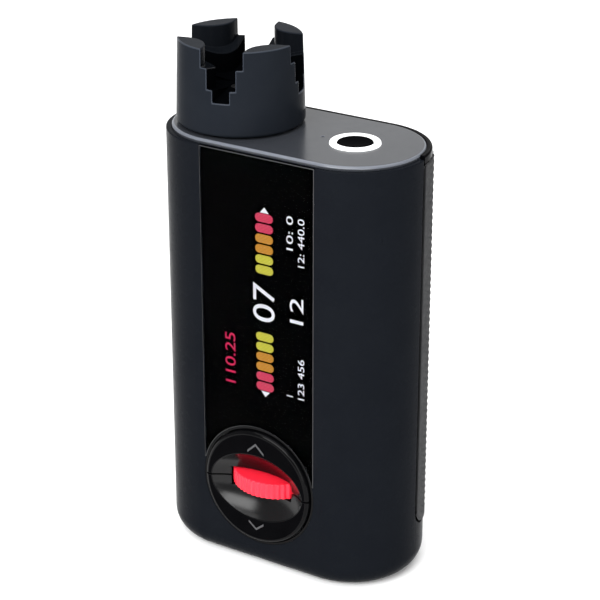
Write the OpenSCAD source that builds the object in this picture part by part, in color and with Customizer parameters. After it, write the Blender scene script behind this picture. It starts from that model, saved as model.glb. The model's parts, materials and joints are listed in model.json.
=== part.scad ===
// Handheld motorised peg turner and tuner for stringed instruments.
// Frame: +Z up the body, the display faces -Y, +X is right seen from the front.
// The origin is the centre of the flat underside. All sizes are millimetres.

/* [Body] */
// Overall width of the body
body_w = 56.5; // [56.3:0.1:57]
// Depth of the body, which is the diameter of its round ends
body_d = 30; // [30:0.1:30.4]
// Height of the front shell
body_h = 90.5; // [90.5:0.1:92]
// Wall thickness of the shell
wall = 2.2; // [2:0.1:2.3]
// Radius of the rounded bottom edge
foot_r = 4.8; // [3:0.1:5]
// Thickness of the floor
floor_t = 2.4; // [2:0.1:2.8]
// Height at which the ribbed back panel starts
panel_z = 10.3; // [9:0.1:10.6]
// Radius of the back panel's lower corners
panel_corner_r = 3.8; // [2:0.1:4]
// How far the grip pad stands proud of the shell
grip_proud = 0.35; // [0:0.05:0.4]

/* [Top cap] */
// Height of the cap above the front shell
cap_proud = 0.8; // [0.4:0.1:1]
// Distance from the outside of the body to the cap
cap_margin = 1.15; // [1.1:0.05:1.2]
// Thickness of the cap
cap_t = 2; // [1.8:0.1:2.2]
// Radius of the rounded top edge of the cap
cap_edge_r = 0.6; // [0.3:0.1:0.8]
// Outer radius of the light ring
ring_r = 5; // [4.8:0.1:5.2]
// Radius of the power button
power_r = 3.6; // [3.5:0.05:3.8]
// Distance of the microphone hole from the body centre
mic_x = 5.9; // [5.6:0.1:6.1]
// Radius of the microphone hole
mic_r = 0.35; // [0.3:0.05:0.5]

/* [Peg socket] */
// Radius of the socket at its base
socket_r = 12.9; // [12:0.1:13]
// Radius of the socket at its rim
socket_top_r = 12.4; // [11.5:0.1:12.5]
// Height of the socket's rim above the cap
socket_h = 17.5; // [16:0.1:19]
// Running gap between the socket and the cap
socket_gap = 0.4; // [0.3:0.1:0.6]
// Widths of the stepped cross slot, from the rim down
slot_w = [8.5, 5.8, 3.4];
// Heights of the slot floors above the cap, from the rim down
slot_z = [13.9, 9.7, 7.2];
// Radii of the rounded inner corners of the upper two slots
slot_corner_r = [5.5, 4.5];
// Fall of the upper two slot floors towards the middle, for each millimetre
slot_fall = 0.25; // [0.1:0.05:0.28]
// Angle at which the slots stand at rest
slot_angle = 15.8; // [0:0.1:45]

/* [Display] */
// Half width of the glass
glass_hw = 13.2; // [13:0.05:13.25]
// Thickness of the glass
glass_t = 0.8; // [0.7:0.05:0.85]
// Width of the display panel
panel_w = 24; // [22:0.5:24]
// Height of the display panel
panel_h = 48.5; // [46:0.5:49]
// Height of the display panel's centre
display_z = 60.75; // [60:0.05:61]

/* [Dial] */
// Height of the dial's centre
dial_z = 19.2; // [19:0.1:19.5]
// Outer radius of the two button halves
button_r = 12.5; // [12:0.1:12.6]
// How far the buttons stand proud of the glass
button_proud = 0.9; // [0.5:0.1:1.2]
// Gap between the button halves
button_gap = 0.3; // [0.2:0.05:0.4]
// Radius of the knurled wheel
wheel_r = 9.6; // [9:0.1:9.7]
// Thickness of the knurled wheel
wheel_t = 3.4; // [3:0.1:3.6]
// Distance of the wheel's axis behind the body centre plane, towards the front
wheel_y = -7; // [-7.2:0.1:-6.9]
// Number of grooves round the wheel
wheel_grooves = 52; // [40:1:60]

/* [Gear train] */
// Tooth module of all gears
gear_m = 0.5; // [0.5:0.5:0.5]
// Teeth on the motor pinion and on the first gear's pinion
pinion_n = 10; // [10:1:10]
// Teeth on the first and second gears
wheel_n = 36; // [36:1:36]
// Teeth on the second gear's pinion
last_pinion_n = 12; // [12:1:12]
// Teeth on the output gear
output_n = 34; // [34:1:34]

/* [Hidden] */
$fn = 72;

// Body
end_r = body_d / 2;
end_x = (body_w - body_d) / 2;
inner_r = end_r - wall;
front_y = -end_r;
front_inner_y = -inner_r;
over = 1;
far = 200;

// Parting line between the front housing and the back cover
part_y = 0.5;
panel_gap = 0.35;
cover_y = part_y + panel_gap;
cover_z = panel_z + panel_gap;
cover_r = end_r - 1.4;
cover_inner_r = end_r - 2.8;
tongue_r = inner_r - 0.05;
tongue_y = -1.5;
lip_r = end_r - 0.05;
lip_edge_r = 0.5;

// Top cap
cap_top = body_h + cap_proud;
cap_z = cap_top - cap_t;
cap_r = end_r - cap_margin;
seat_r = cap_r + 0.05;
neck_z = cap_z - 1.4;
neck_r = end_r - 0.6;
lip_z = cap_z + 0.3;
lip_h = cap_top - 0.1 - lip_z;
pad_top = lip_z - 0.2;
pad_step_z = neck_z - 0.1;
fit_gap = 0.03;

// Screws that hold the back cover
screw_places = [[-21.5, 14], [21.5, 14], [22.6, 76.5]];
boss_r = 2.4;
screw_r = 1;
screw_hole_r = 1.1;
screw_head_r = 1.95;
head_y = 5.4;
boss_y = 1;

// Display
pocket_gap = 0.05;
glass_back_y = front_y + glass_t;
glass_end_z = dial_z + 3.2;
bezel_r = 13.2;
lcd_front_y = glass_back_y + 0.05;
lcd_back_y = lcd_front_y + 1.6;
bracket_t = 0.4;

// Dial
bezel_inner_r = button_r + 0.25;
bezel_flange_r = 13.9;
bezel_flange_y = front_inner_y + 0.05;
flange_t = 0.4;
button_flange_r = 13.7;
button_flange_y = bezel_flange_y + flange_t + 0.1;
button_flange_t = 0.6;
button_back_y = -11.3;
button_boss_r = 10.6;
button_edge_r = 0.8;
button_front_y = front_y - button_proud;
scoop_arc_r = 18.6;
scoop_shift = 9.4;
scoop_lift = 5.6;
slot_gap = 0.4;

// Wheel
axle_r = 1.5;
running = 0.05;
axle_low = dial_z - 7.1;
axle_high = dial_z + 10;
arm_t = 1.2;
arm_low = dial_z - 7.2;
arm_high = dial_z + 6;

// Circuit boards
board_t = 1;
control_y = -9.9;
control_back_y = control_y + board_t;
control_half = 13;
control_posts = [for (x = [-10.2, 10.2], dz = [-11.4, 11.4]) [x, dial_z + dz]];
main_y = -10.4;
main_back_y = main_y + board_t;
main_low = 34.5;
main_high = 66;
main_posts = [for (x = [-13.4, 13.4], z = [38, 63]) [x, z]];
post_r = 1.3;
pilot_r = 0.5;
switch_z = 8;

// Power button and top board
ring_z = cap_z - 1;
ring_inner_r = power_r + 0.15;
ring_top = cap_top + 0.45;
power_top = cap_top + 0.35;
power_flange_z = ring_z - 0.95;
power_flange_r = 4.4;
top_board_z = 83.2;
top_board_top = top_board_z + board_t;
cap_posts = [for (y = [-6, 6]) [20.5, y]];
power_travel_gap = 0.45;

// Gear train
shaft_x = -end_x;
centre_distance = gear_m * (pinion_n + wheel_n) / 2;
motor_x = shaft_x + centre_distance;
plate_t = 1.2;
lower_plate_z = 67;
upper_plate_z = 79.4;
plate_r = 12;
pin_r = 0.8;
shaft_r = 2;
bearing_r = 4.5;
pillar_r = 1;
pillar_end_r = 0.7;
pillar_places = [
    [shaft_x - 10.9, 0],
    [(shaft_x + motor_x) / 2, 9.9],
    [(shaft_x + motor_x) / 2, -9.9],
    [motor_x + 11, 0]
];
motor_r = 8;
motor_low = 41;
motor_shaft_r = 0.75;
motor_screw_y = 6;

// Peg socket
socket_z = cap_top + socket_gap;
socket_top = cap_top + socket_h;
slot_floor = cap_top + slot_z[2];
shaft_top = slot_floor - 1.5;
shaft_flat = 1.5;
socket_foot_r = 0.7;

// Battery and charging port
battery_x = 16.5;
battery_y = 1;
battery_r = 7;
battery_low = 17.6;
battery_high = 65;
port_y = 4.6;
port_w = 8.94;
port_d = 3.16;
port_t = 0.3;

// Colours
black = [0.09, 0.095, 0.11];
dark = [0.05, 0.05, 0.055];
grey = [0.48, 0.49, 0.51];
red = [0.95, 0.12, 0.22];
steel = [0.72, 0.73, 0.75];
brass = [0.8, 0.66, 0.32];
board_green = [0.08, 0.3, 0.16];
white = [0.95, 0.95, 0.95];

// Outline of the body: a rectangle with two round ends
module stadium(r) {
    square([2 * end_x, 2 * r], center = true);
    for (side = [-1, 1])
        translate([side * end_x, 0])
            circle(r);
}

module slab(r, low, high) {
    translate([0, 0, low])
        linear_extrude(high - low)
            stadium(r);
}

// Half outline of a block whose bottom edge is rounded
module foot_profile(r, h, edge) {
    square([r - edge, h]);
    translate([0, edge])
        square([r, h - edge]);
    translate([r - edge, edge])
        circle(edge);
}

// Half outline of a block whose top edge is rounded
module crown_profile(r, h, edge) {
    square([r, h - edge]);
    translate([0, h - edge])
        square([r - edge, edge]);
    translate([r - edge, h - edge])
        circle(edge);
}

// A stadium block made from the half outline given as its child
module turned_block(r, h) {
    for (side = [-1, 1])
        translate([side * end_x, 0, 0])
            rotate_extrude()
                intersection() {
                    children();
                    square([r, h]);
                }
    rotate([90, 0, 90])
        translate([0, 0, -end_x])
            linear_extrude(2 * end_x)
                for (side = [0, 1])
                    mirror([side, 0])
                        children();
}

// Everything behind the parting line, with rounded lower corners
module back_zone(y, z) {
    rotate([90, 0, 90])
        translate([0, 0, -far / 2])
            linear_extrude(far)
                union() {
                    translate([y + panel_corner_r, z])
                        square([far, far]);
                    translate([y, z + panel_corner_r])
                        square([far, far]);
                    translate([y + panel_corner_r, z + panel_corner_r])
                        circle(panel_corner_r);
                }
}

// A rod along +Y from y0 to y1 at the place [x, z]
module rod_y(place, r, y0, y1) {
    translate([place[0], y0, place[1]])
        rotate([-90, 0, 0])
            cylinder(r = r, h = y1 - y0);
}

module rod_z(place, r, z0, z1) {
    translate([place[0], place[1], z0])
        cylinder(r = r, h = z1 - z0);
}

module tube_z(place, r_out, r_in, z0, z1) {
    difference() {
        rod_z(place, r_out, z0, z1);
        rod_z(place, r_in, z0 - over, z1 + over);
    }
}

// A box given by its lowest and highest corners
module block(low, high) {
    translate(low)
        cube(high - low);
}

// A gear with straight flanks, relieved so that it runs with a little backlash
module gear(teeth, root_share, phase, low, high) {
    pitch = gear_m * teeth / 2;
    step = 360 / teeth;
    sides = [
        [pitch - 1.2 * gear_m, root_share],
        [pitch, 0.215],
        [pitch + 0.9 * gear_m, 0.09]
    ];
    translate([0, 0, low])
        rotate([0, 0, phase])
            linear_extrude(high - low)
                polygon([
                    for (i = [0:teeth - 1], k = [0:5])
                        let (
                            side = k < 3 ? sides[k] : sides[5 - k],
                            a = step * (i + (k < 3 ? -side[1] : side[1]))
                        )
                        side[0] * [cos(a), sin(a)]
                ]);
}

module front_housing() {
    color(black)
        difference() {
            union() {
                difference() {
                    turned_block(end_r, body_h)
                        foot_profile(end_r, body_h, foot_r);
                    slab(inner_r, floor_t, body_h + over);
                    slab(seat_r, cap_z, body_h + over);
                    back_zone(part_y, panel_z);
                }
                housing_bosses();
                housing_posts();
                gear_ledge();
            }
            glass_pocket();
            rod_y([0, dial_z], bezel_r, front_y - over, front_inner_y + over);
            for (place = screw_places)
                rod_y(place, screw_r, -5, boss_y + over);
            for (place = control_posts)
                rod_y(place, pilot_r, control_y - 2, control_y + over);
            for (place = main_posts)
                rod_y(place, pilot_r, main_y - 1.6, main_y + over);
            port_outline(port_w + 0.5, port_d + 0.5, -over, floor_t + over);
        }
}

module housing_bosses() {
    intersection() {
        for (place = screw_places)
            rod_y(place, boss_r, front_y, boss_y);
        slab(inner_r + 0.4, floor_t, body_h);
    }
}

module housing_posts() {
    for (place = control_posts)
        rod_y(place, post_r, front_inner_y - 0.2, control_y);
    for (place = main_posts)
        rod_y(place, post_r, front_inner_y - 0.2, main_y);
}

// Ledge inside the round end, on which the gear frame stands
module gear_ledge() {
    intersection() {
        difference() {
            slab(inner_r + 0.4, lower_plate_z - arm_t, lower_plate_z);
            slab(inner_r - 1.8, lower_plate_z - 2 * arm_t, lower_plate_z + over);
        }
        block([-end_x - end_r, -end_r, 0], [-end_x, tongue_y - 0.1, body_h]);
    }
}

module glass_pocket() {
    block([-glass_hw, front_y - over, glass_end_z], [glass_hw, glass_back_y, body_h + over]);
    block(
        [-panel_w / 2 - 0.1, front_y, display_z - panel_h / 2 - 0.05],
        [panel_w / 2 + 0.1, front_inner_y + over, display_z + panel_h / 2 + 0.05]
    );
}

module back_cover() {
    color(black)
        difference() {
            union() {
                intersection() {
                    union() {
                        slab(cover_r, panel_z, cap_z);
                        slab(neck_r, neck_z, lip_z + over / 2);
                        translate([0, 0, lip_z])
                            turned_block(lip_r, lip_h)
                                crown_profile(lip_r, lip_h, lip_edge_r);
                    }
                    back_zone(cover_y, cover_z);
                }
                intersection() {
                    slab(tongue_r, cover_z + panel_corner_r, cap_z - 2);
                    block([-far, tongue_y, 0], [far, cover_y + over, far]);
                }
            }
            difference() {
                slab(cover_inner_r, 0, far);
                cover_bosses();
            }
            slab(seat_r, cap_z, far);
            for (place = screw_places) {
                rod_y(place, screw_hole_r, 0, head_y + over);
                rod_y(place, screw_head_r + 0.15, head_y, far);
            }
        }
}

module cover_bosses() {
    for (place = screw_places)
        rod_y(place, boss_r, boss_y, end_r);
}

module grip_pad() {
    color([0.13, 0.135, 0.15])
        intersection() {
            difference() {
                slab(end_r + grip_proud, cover_z, pad_top);
                slab(cover_r, 0, far);
                slab(neck_r, pad_step_z, far);
            }
            back_zone(cover_y, cover_z);
        }
}

module top_cap() {
    color(grey)
        difference() {
            union() {
                translate([0, 0, cap_z])
                    turned_block(cap_r, cap_t)
                        crown_profile(cap_r, cap_t, cap_edge_r);
                for (place = cap_posts)
                    rod_z(place, post_r, top_board_top, cap_z + 0.1);
            }
            rod_z([shaft_x, 0], 3.8, cap_z - over, cap_top + over);
            rod_z([end_x, 0], ring_r + fit_gap, cap_z - over, cap_top + over);
            rod_z([mic_x, 0], mic_r, cap_z - over, cap_top + over);
            for (place = cap_posts)
                rod_z(place, pilot_r, top_board_top - over, cap_z);
        }
}

module cover_screws() {
    color(steel)
        for (place = screw_places) {
            rod_y(place, screw_r, -4, head_y);
            difference() {
                rod_y(place, screw_head_r, head_y, head_y + 1.4);
                for (a = [0, 90])
                    translate([place[0], head_y + 1.4, place[1]])
                        rotate([0, a, 0])
                            cube([0.5, 1.4, 2.2], center = true);
            }
        }
}

module display_glass() {
    color(dark)
        difference() {
            block(
                [-glass_hw + pocket_gap, front_y, glass_end_z + pocket_gap],
                [glass_hw - pocket_gap, glass_back_y, body_h - 0.1]
            );
            rod_y([0, dial_z], bezel_r + pocket_gap, front_y - over, 0);
        }
}

module display_panel() {
    color(dark)
        block(
            [-panel_w / 2, lcd_front_y, display_z - panel_h / 2],
            [panel_w / 2, lcd_back_y, display_z + panel_h / 2]
        );
}

module display_bracket() {
    rim = 2;
    color(steel)
        difference() {
            block(
                [-panel_w / 2, lcd_back_y, display_z - panel_h / 2],
                [panel_w / 2, lcd_back_y + bracket_t, display_z + panel_h / 2]
            );
            for (side = [-1, 1])
                block(
                    [rim - panel_w / 2, -far, display_z + side * panel_h / 4 - 10],
                    [panel_w / 2 - rim, 0, display_z + side * panel_h / 4 + 10]
                );
        }
}

module display_flex() {
    color(brass)
        block([-5, lcd_back_y, main_low + 0.5], [5, main_y, main_low + 0.7]);
}

module dial_bezel() {
    color(dark)
        difference() {
            union() {
                rod_y([0, dial_z], bezel_r - 0.02, front_y + 0.1, bezel_flange_y);
                rod_y([0, dial_z], bezel_flange_r, bezel_flange_y, bezel_flange_y + flange_t);
            }
            rod_y([0, dial_z], bezel_inner_r, front_y - over, 0);
        }
}

// Both halves of the dial as one turned body, before it is split
module button_blank() {
    translate([0, 0, dial_z])
        rotate([90, 0, 0])
            rotate_extrude() {
                translate([0, -button_flange_y - button_flange_t])
                    square([button_flange_r, button_flange_t]);
                translate([0, -button_back_y])
                    square([button_boss_r, 1]);
                translate([0, -button_flange_y - 0.1])
                    square([button_r, button_flange_y - button_front_y + 0.1 - button_edge_r]);
                translate([0, -button_flange_y])
                    square([button_r - button_edge_r, button_flange_y - button_front_y]);
                intersection() {
                    translate([button_r - button_edge_r, -button_front_y - button_edge_r])
                        circle(button_edge_r);
                    square([button_r, -button_front_y]);
                }
            }
}

// Long hollow between the two halves, round which the wheel is reached
module scoop() {
    translate([0, button_front_y - scoop_lift, dial_z])
        rotate([0, 90, 0])
            rotate_extrude()
                intersection() {
                    translate([-scoop_shift, 0])
                        circle(scoop_arc_r);
                    translate([0, -far / 2])
                        square([far, far]);
                }
}

module button_half(side) {
    low = side > 0 ? dial_z + button_gap / 2 : dial_z - far;
    high = side > 0 ? dial_z + far : dial_z - button_gap / 2;
    difference() {
        intersection() {
            button_blank();
            block([-far, -far, low], [far, far, high]);
        }
        scoop();
        rod_z(
            [0, wheel_y],
            wheel_r + slot_gap,
            dial_z - wheel_t / 2 - slot_gap,
            dial_z + wheel_t / 2 + slot_gap
        );
    }
}

module upper_button() {
    color(dark)
        button_half(1);
}

module lower_button() {
    color(dark)
        button_half(-1);
}

module button_switches() {
    color(steel)
        for (dz = [-switch_z, switch_z]) {
            block([-2, control_y - 0.8, dial_z + dz - 2], [2, control_y, dial_z + dz + 2]);
            rod_y([0, dial_z + dz], 1, control_y - 0.95, control_y - 0.7);
        }
}

module control_board() {
    color(board_green)
        difference() {
            block(
                [-11.6, control_y, dial_z - control_half],
                [11.6, control_back_y, dial_z + control_half]
            );
            block([-10.2, -far, dial_z - 2.4], [10.2, far, dial_z + 2.4]);
            for (place = control_posts)
                rod_y(place, pilot_r, -far / 2, 0);
        }
}

module scroll_wheel() {
    chamfer = 0.3;
    color(red)
        difference() {
            translate([0, wheel_y, dial_z])
                rotate_extrude()
                    polygon([
                        [axle_r, -wheel_t / 2],
                        [wheel_r - chamfer, -wheel_t / 2],
                        [wheel_r, chamfer - wheel_t / 2],
                        [wheel_r, wheel_t / 2 - chamfer],
                        [wheel_r - chamfer, wheel_t / 2],
                        [axle_r, wheel_t / 2]
                    ]);
            for (i = [0:wheel_grooves - 1])
                translate([0, wheel_y, 0])
                    rotate([0, 0, i * 360 / wheel_grooves])
                        rod_z([wheel_r + 0.1, 0], 0.35, dial_z - wheel_t, dial_z + wheel_t);
        }
}

module wheel_axle() {
    color(steel)
        rod_z([0, wheel_y], axle_r, axle_low, axle_high);
}

module wheel_bracket() {
    color(steel)
        difference() {
            union() {
                for (z = [arm_low, arm_high])
                    block([-4.5, control_back_y, z], [4.5, 3.3, z + arm_t]);
                block([-4.5, 3.3, arm_low], [4.5, 4.3, arm_high + arm_t]);
            }
            rod_z([0, wheel_y], axle_r + running, 0, far);
        }
}

module wheel_encoder() {
    low = arm_high + arm_t;
    color([0.2, 0.22, 0.2])
        difference() {
            block([-4, control_back_y, low], [4, -3.4, low + 3.5]);
            rod_z([0, wheel_y], axle_r + running, low - over, axle_high + 0.2);
        }
}

module power_button() {
    color(dark) {
        rod_z([end_x, 0], power_r, power_flange_z + 0.2, power_top);
        rod_z([end_x, 0], power_flange_r, power_flange_z, ring_z - 0.1);
    }
}

module light_ring() {
    color(white)
        difference() {
            union() {
                rod_z([end_x, 0], ring_r, ring_z, ring_top);
                rod_z([end_x, 0], ring_r + 1, ring_z, cap_z);
            }
            rod_z([end_x, 0], ring_inner_r, 0, far);
        }
}

module power_switch() {
    top = power_flange_z - power_travel_gap;
    color(steel) {
        block([end_x - 3, -3, top_board_top], [end_x + 3, 3, top - 0.7]);
        rod_z([end_x, 0], 1.4, top - 0.8, top);
    }
}

module status_lights() {
    color(white)
        for (a = [45:90:315])
            translate([end_x + 6.2 * cos(a), 6.2 * sin(a), top_board_top + 0.3])
                cube([1.6, 1.6, 0.6], center = true);
}

module top_board() {
    color(board_green)
        difference() {
            translate([0, 0, top_board_z])
                linear_extrude(board_t)
                    intersection() {
                        stadium(inner_r - 1.5);
                        translate([3.4, -far / 2])
                            square(far);
                    }
            for (place = cap_posts)
                rod_z(place, pilot_r, 0, far);
        }
}

module microphone() {
    color(brass)
        block([mic_x - 1.8, -1.4, top_board_top], [mic_x + 1.8, 1.4, top_board_top + 1]);
}

module microphone_seal() {
    color([0.15, 0.15, 0.15])
        tube_z([mic_x, 0], 1.2, 0.5, top_board_top + 1, cap_z);
}

module vibration_sensor() {
    color(brass)
        rod_z([-3.5, 0], 4, cap_z - 0.6, cap_z);
}

module peg_socket() {
    color(black)
        difference() {
            translate([shaft_x, 0, socket_z])
                rotate_extrude()
                    socket_profile();
            translate([shaft_x, 0, 0])
                rotate([0, 0, slot_angle]) {
                    slot_cross(2);
                    for (i = [0, 1])
                        intersection() {
                            union() {
                                slot_cross(i);
                                slot_corners(i);
                            }
                            rotate_extrude()
                                funnel_profile(cap_top + slot_z[i]);
                        }
                }
            shaft_end(0);
            rod_z([shaft_x, 0], screw_head_r + 0.1, shaft_top, slot_floor + over);
        }
}

// Two crossed slots of one width, open at the rim
module slot_cross(i) {
    for (a = [0, 90])
        rotate([0, 0, a])
            block(
                [-slot_w[i] / 2, -socket_r - over, slot_floor],
                [slot_w[i] / 2, socket_r + over, socket_top + over]
            );
}

// Rounds the four inner corners of a slot
module slot_corners(i) {
    half = slot_w[i] / 2;
    centre = half + slot_corner_r[i];
    for (a = [0:90:270])
        rotate([0, 0, a])
            difference() {
                block([half - 1, half - 1, slot_floor], [centre, centre, socket_top + over]);
                rod_z([centre, centre], slot_corner_r[i], 0, far);
            }
}

// Everything above a slot floor that falls towards the middle
module funnel_profile(z) {
    polygon([
        [0, z - slot_fall * socket_top_r],
        [socket_top_r, z],
        [socket_r + 2 * over, z],
        [socket_r + 2 * over, socket_top + over],
        [0, socket_top + over]
    ]);
}

module socket_profile() {
    h = socket_top - socket_z;
    polygon([
        [0, 0],
        [socket_r - socket_foot_r, 0],
        [socket_r - socket_foot_r * 0.3, socket_foot_r * 0.3],
        [socket_r, socket_foot_r],
        [socket_top_r, h],
        [0, h]
    ]);
}

// D-shaped end of the output shaft, inside the socket
module shaft_end(margin) {
    intersection() {
        rod_z([shaft_x, 0], shaft_r + margin, socket_z - over, shaft_top);
        block(
            [shaft_x - far, -far, 0],
            [shaft_x + shaft_flat + margin, far, far]
        );
    }
}

module output_shaft() {
    color(steel)
        difference() {
            union() {
                rod_z([shaft_x, 0], shaft_r, upper_plate_z - 4, socket_z - 0.1);
                shaft_end(0);
            }
            rod_z([shaft_x, 0], pin_r, socket_z - over, far);
        }
}

module socket_screw() {
    color(steel)
        difference() {
            union() {
                rod_z([shaft_x, 0], pin_r, socket_z, shaft_top);
                rod_z([shaft_x, 0], screw_head_r, shaft_top, shaft_top + 1.3);
            }
            for (a = [0, 90])
                translate([shaft_x, 0, shaft_top + 1.3])
                    rotate([0, 0, a])
                        cube([2.4, 0.5, 1.4], center = true);
        }
}

module shaft_clip() {
    color(steel)
        tube_z([shaft_x, 0], 3.4, shaft_r, upper_plate_z + 2.6, upper_plate_z + 3);
}

module shaft_bush() {
    color(brass)
        difference() {
            union() {
                rod_z([shaft_x, 0], 3.8, cap_z, cap_top - 0.1);
                rod_z([shaft_x, 0], 5, cap_z - 0.8, cap_z);
            }
            rod_z([shaft_x, 0], shaft_r + running, 0, far);
        }
}

module output_bearing() {
    color(steel)
        tube_z([shaft_x, 0], bearing_r, shaft_r + running, upper_plate_z, upper_plate_z + 2.5);
}

module output_gear() {
    color(brass)
        difference() {
            translate([shaft_x, 0, 0]) {
                gear(output_n, 0.33, 0, upper_plate_z - 4, upper_plate_z - 1.2);
                rod_z([0, 0], 3.2, upper_plate_z - 1.3, upper_plate_z - 0.1);
            }
            rod_z([shaft_x, 0], shaft_r, 0, far);
        }
}

module second_gear() {
    low = lower_plate_z + 5.6;
    color(brass)
        difference() {
            translate([motor_x, 0, 0]) {
                gear(wheel_n, 0.33, 180 + 180 / wheel_n, low, low + 2);
                gear(last_pinion_n, 0.29, 180 + 180 / last_pinion_n, low + 1.9, low + 6);
            }
            rod_z([motor_x, 0], pin_r + running, 0, far);
        }
}

module first_gear() {
    low = lower_plate_z + 2;
    color(brass)
        difference() {
            translate([shaft_x, 0, 0]) {
                gear(wheel_n, 0.33, 0, low, low + 2);
                gear(pinion_n, 0.28, 0, low + 1.9, low + 6);
            }
            rod_z([shaft_x, 0], pin_r + running, 0, far);
        }
}

module second_gear_pin() {
    color(steel) {
        rod_z([motor_x, 0], pin_r, lower_plate_z + 5.3, upper_plate_z + plate_t);
        rod_z([motor_x, 0], 1.5, lower_plate_z + 5.3, lower_plate_z + 5.55);
    }
}

module first_gear_pin() {
    color(steel)
        rod_z([shaft_x, 0], pin_r, lower_plate_z, lower_plate_z + 8.15);
}

module plate_outline() {
    translate([shaft_x, -plate_r])
        square([centre_distance, 2 * plate_r]);
    for (x = [shaft_x, motor_x])
        translate([x, 0])
            circle(plate_r);
}

module plate(low) {
    translate([0, 0, low])
        linear_extrude(plate_t)
            plate_outline();
}

module lower_plate() {
    color(steel)
        difference() {
            union() {
                plate(lower_plate_z);
                rod_z([shaft_x, 0], 1.6, lower_plate_z + 1, lower_plate_z + 1.9);
            }
            rod_z([shaft_x, 0], pin_r, 0, far);
            rod_z([motor_x, 0], 2.2, 0, far);
            for (y = [-motor_screw_y, motor_screw_y])
                rod_z([motor_x, y], pin_r, 0, far);
            for (place = pillar_places)
                rod_z(place, pillar_end_r, 0, far);
        }
}

module upper_plate() {
    color(steel)
        difference() {
            union() {
                plate(upper_plate_z);
                rod_z([motor_x, 0], 1.6, upper_plate_z - 0.7, upper_plate_z + 1);
            }
            rod_z([shaft_x, 0], bearing_r, 0, far);
            rod_z([motor_x, 0], pin_r, 0, far);
            for (place = pillar_places)
                rod_z(place, pillar_end_r, 0, far);
        }
}

module plate_pillars() {
    color(steel)
        for (place = pillar_places) {
            rod_z(place, pillar_end_r, lower_plate_z, upper_plate_z + plate_t);
            rod_z(place, pillar_r, lower_plate_z + plate_t, upper_plate_z);
        }
}

module motor() {
    color(steel)
        difference() {
            union() {
                rod_z([motor_x, 0], motor_r, motor_low, lower_plate_z);
                rod_z([motor_x, 0], 3, motor_low - 1.2, motor_low + 1);
                rod_z([motor_x, 0], 2.2, lower_plate_z - over, lower_plate_z + plate_t);
            }
            rod_z([motor_x, 0], motor_shaft_r + running, motor_low + 19, far);
            for (y = [-motor_screw_y, motor_screw_y])
                rod_z([motor_x, y], pin_r, lower_plate_z - 2.5, far);
        }
}

module motor_shaft() {
    color(steel)
        rod_z([motor_x, 0], motor_shaft_r, motor_low + 19.2, lower_plate_z + 5);
}

module motor_pinion() {
    color(brass)
        difference() {
            translate([motor_x, 0, 0])
                gear(pinion_n, 0.28, 180 + 180 / pinion_n, lower_plate_z + 1.6, lower_plate_z + 5);
            rod_z([motor_x, 0], motor_shaft_r, 0, far);
        }
}

module motor_screws() {
    color(steel)
        for (y = [-motor_screw_y, motor_screw_y]) {
            rod_z([motor_x, y], pin_r, lower_plate_z - 2.2, lower_plate_z + plate_t);
            rod_z([motor_x, y], 1.5, lower_plate_z + plate_t, lower_plate_z + plate_t + 0.9);
        }
}

module main_board() {
    color(board_green)
        difference() {
            block([-14.8, main_y, main_low], [14.8, main_back_y, main_high]);
            for (place = main_posts)
                rod_y(place, pilot_r, -far / 2, 0);
        }
}

module board_chips() {
    color([0.12, 0.12, 0.13]) {
        block([-8, main_y - 1.2, 48], [1, main_y, 57]);
        block([4, main_y - 1, 50], [9, main_y, 55]);
        block([-3, main_y - 0.9, 41], [3, main_y, 45]);
        block([-11, main_y - 1.2, 60], [-7, main_y, 64]);
    }
}

module board_screws() {
    color(steel) {
        for (place = control_posts)
            board_screw(place, control_back_y);
        for (place = main_posts)
            board_screw(place, main_back_y);
        for (place = cap_posts) {
            rod_z(place, pilot_r, top_board_z, top_board_top + 2);
            rod_z(place, 1.1, top_board_z - 0.7, top_board_z);
        }
    }
}

module board_screw(place, back) {
    rod_y(place, pilot_r, back - 2.2, back);
    rod_y(place, 1.1, back, back + 0.7);
}

module battery() {
    color([0.25, 0.45, 0.7]) {
        rod_z([battery_x, battery_y], battery_r, battery_low, battery_high);
        rod_z([battery_x, battery_y], 2.5, battery_low, battery_high + 0.8);
    }
}

module battery_cradle() {
    color([0.3, 0.3, 0.32])
        intersection() {
            tube_z([battery_x, battery_y], battery_r + 1, battery_r, 30, 55);
            block([-far, battery_y, 0], [far, far, far]);
        }
}

// Rounded slot outline of the charging port, cut or raised along Z
module port_outline(w, d, low, high) {
    translate([0, port_y, low])
        linear_extrude(high - low) {
            square([w - d, d], center = true);
            for (side = [-1, 1])
                translate([side * (w - d) / 2, 0])
                    circle(d / 2);
        }
}

module charging_port() {
    color(steel) {
        difference() {
            port_outline(port_w, port_d, 0.6, 7.9);
            port_outline(port_w - 2 * port_t, port_d - 2 * port_t, -over, 6.9);
        }
        block([-3.3, port_y - 0.35, 2], [3.3, port_y + 0.35, 7]);
    }
}

module charging_board() {
    color(board_green)
        block(
            [-9, port_y + port_d / 2, floor_t],
            [9, port_y + port_d / 2 + board_t, 11.6]
        );
}

front_housing();
back_cover();
grip_pad();
top_cap();
cover_screws();
display_glass();
display_panel();
display_bracket();
display_flex();
dial_bezel();
upper_button();
lower_button();
button_switches();
control_board();
scroll_wheel();
wheel_axle();
wheel_bracket();
wheel_encoder();
power_button();
light_ring();
power_switch();
status_lights();
top_board();
microphone();
microphone_seal();
vibration_sensor();
peg_socket();
socket_screw();
output_shaft();
shaft_clip();
shaft_bush();
output_bearing();
output_gear();
second_gear();
first_gear();
second_gear_pin();
first_gear_pin();
lower_plate();
upper_plate();
plate_pillars();
motor();
motor_shaft();
motor_pinion();
motor_screws();
main_board();
board_chips();
board_screws();
battery();
battery_cradle();
charging_port();
charging_board();
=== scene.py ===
"""Looks of the handheld motorised peg turner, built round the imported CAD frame. Metres, +Z up."""

import json
import math

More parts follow.
